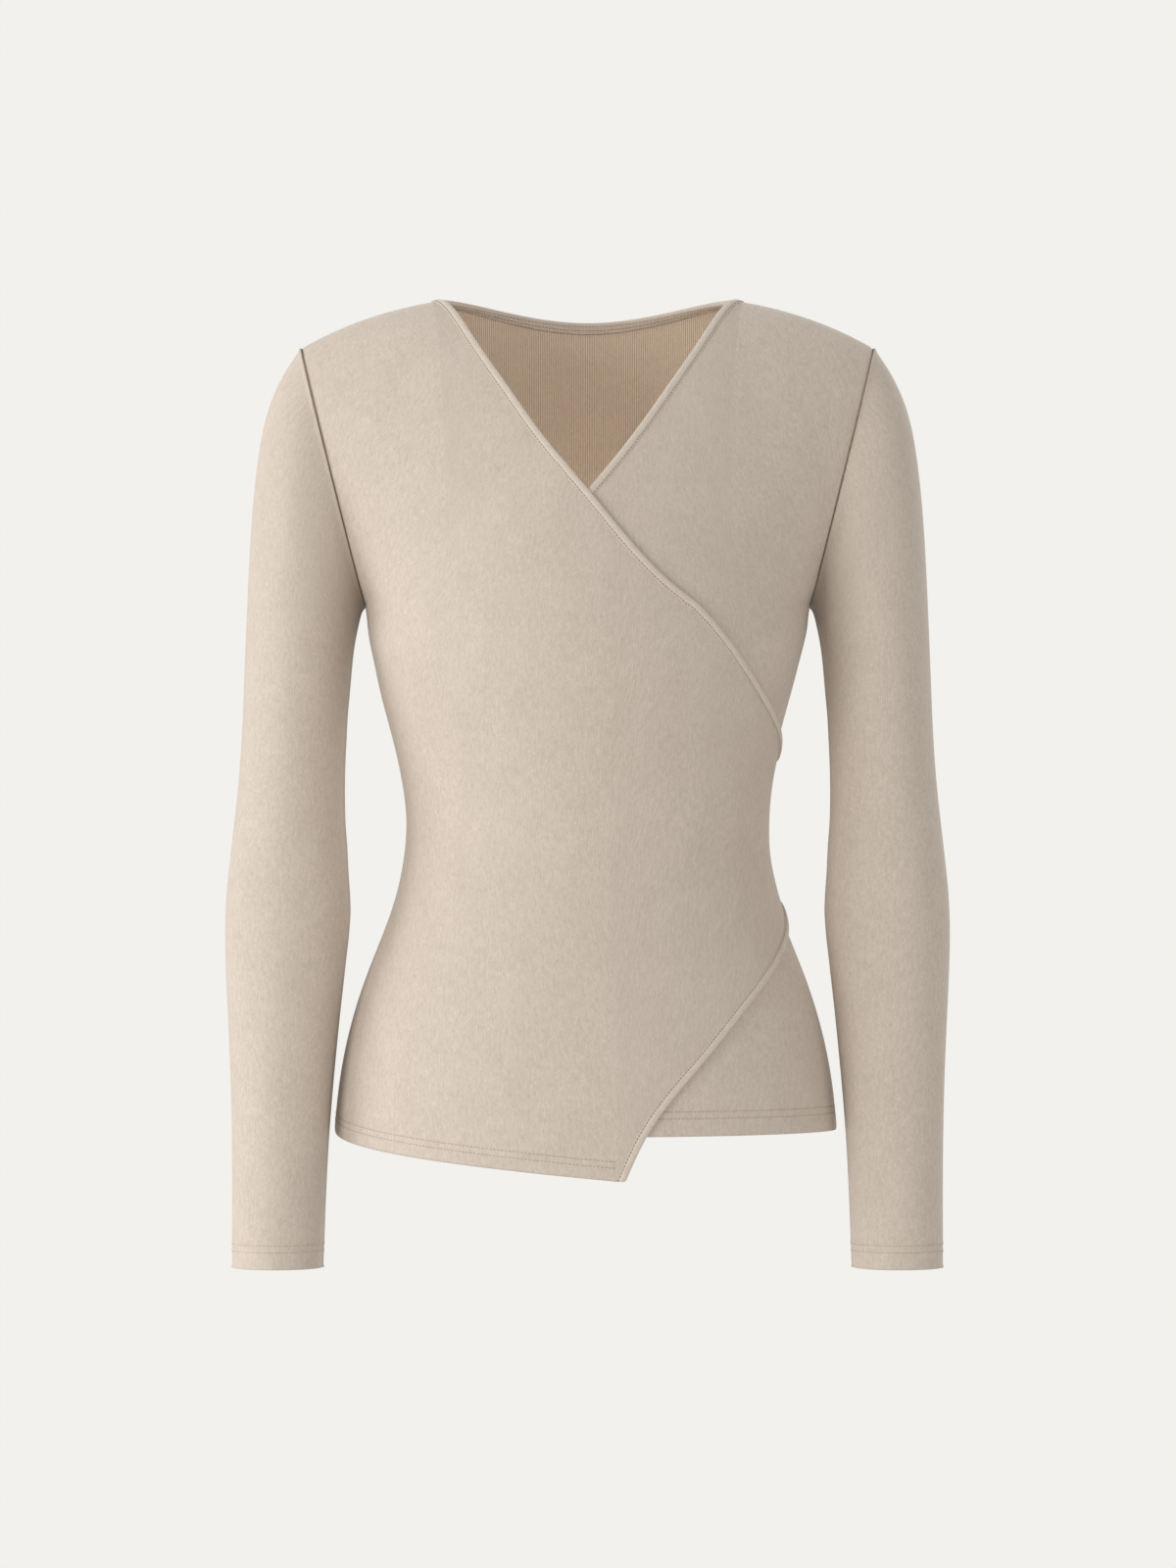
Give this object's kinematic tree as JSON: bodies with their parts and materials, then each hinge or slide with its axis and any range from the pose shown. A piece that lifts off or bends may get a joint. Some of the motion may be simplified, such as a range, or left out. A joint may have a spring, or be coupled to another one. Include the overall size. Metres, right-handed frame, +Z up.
{
  "type": "wrap top",
  "caption": "Long-sleeved wrap top of fine knit, worn shape and hollow: the right front crosses over the left, with bound neck and pointed hem",
  "frame": {"origin": "midway between the two neck points, where the shoulder seams end, at their height", "axes": "+Z up, the front faces -Y, and the wearer's left is at +X"},
  "size_m": [0.4754, 0.2427, 0.6295],
  "materials": {
    "jersey": "soft brushed fine knit, beige melange",
    "binding": "folded strip of the same knit"
  },
  "bodies": {
    "root": {"back": "jersey", "front_under": "jersey", "front_wrap": "jersey", "sleeve_left": "jersey", "sleeve_right": "jersey", "binding_back_neck": "binding", "binding_under_neck": "binding", "binding_wrap_neck": "binding", "binding_wrap_lower": "binding"}
  },
  "joints": []
}
